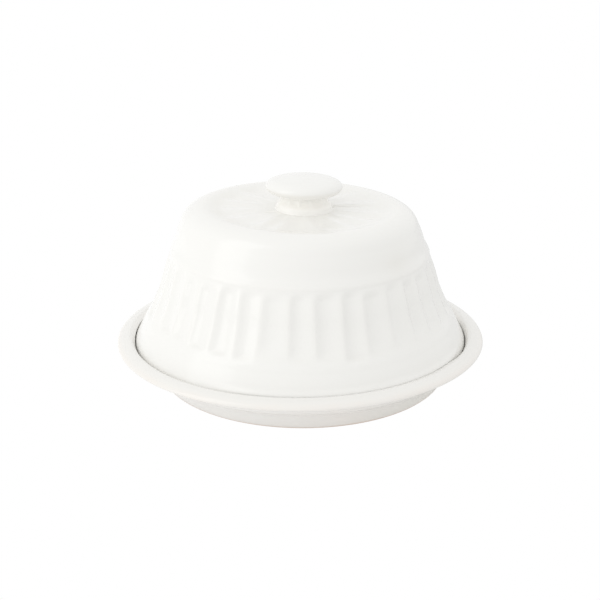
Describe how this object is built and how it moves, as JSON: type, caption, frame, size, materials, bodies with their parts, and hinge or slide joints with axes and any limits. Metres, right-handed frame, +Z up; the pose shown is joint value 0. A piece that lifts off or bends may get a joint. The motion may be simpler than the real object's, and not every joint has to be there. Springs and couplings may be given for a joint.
{
  "type": "covered butter crock",
  "caption": "Round glazed ceramic butter crock: a footed dish with a raised rim and a fluted domed lid with a mushroom knob that lifts off.",
  "frame": {"origin": "on the table plane under the foot ring, at the centre of the dish's rim", "axes": "+Z up, -Y the side facing the viewer, +X to the viewer's right"},
  "size_m": [0.1804, 0.1804, 0.0996],
  "materials": {
    "dish_glaze": "glossy off-white glaze, thin and warm at the rim, bare clay on the foot ring",
    "dome_glaze": "glossy off-white glaze",
    "knob_glaze": "glossy off-white glaze, slightly warm in the neck's flutes"
  },
  "bodies": {
    "dish": {"dish": "dish_glaze"},
    "lid": {"lid_dome": "dome_glaze", "lid_knob": "knob_glaze"}
  },
  "joints": [
    {"name": "lid_lift", "type": "slide", "parent": "dish", "child": "lid", "axis": [0, 0, 1], "range_m": [0, 0.12]}
  ]
}
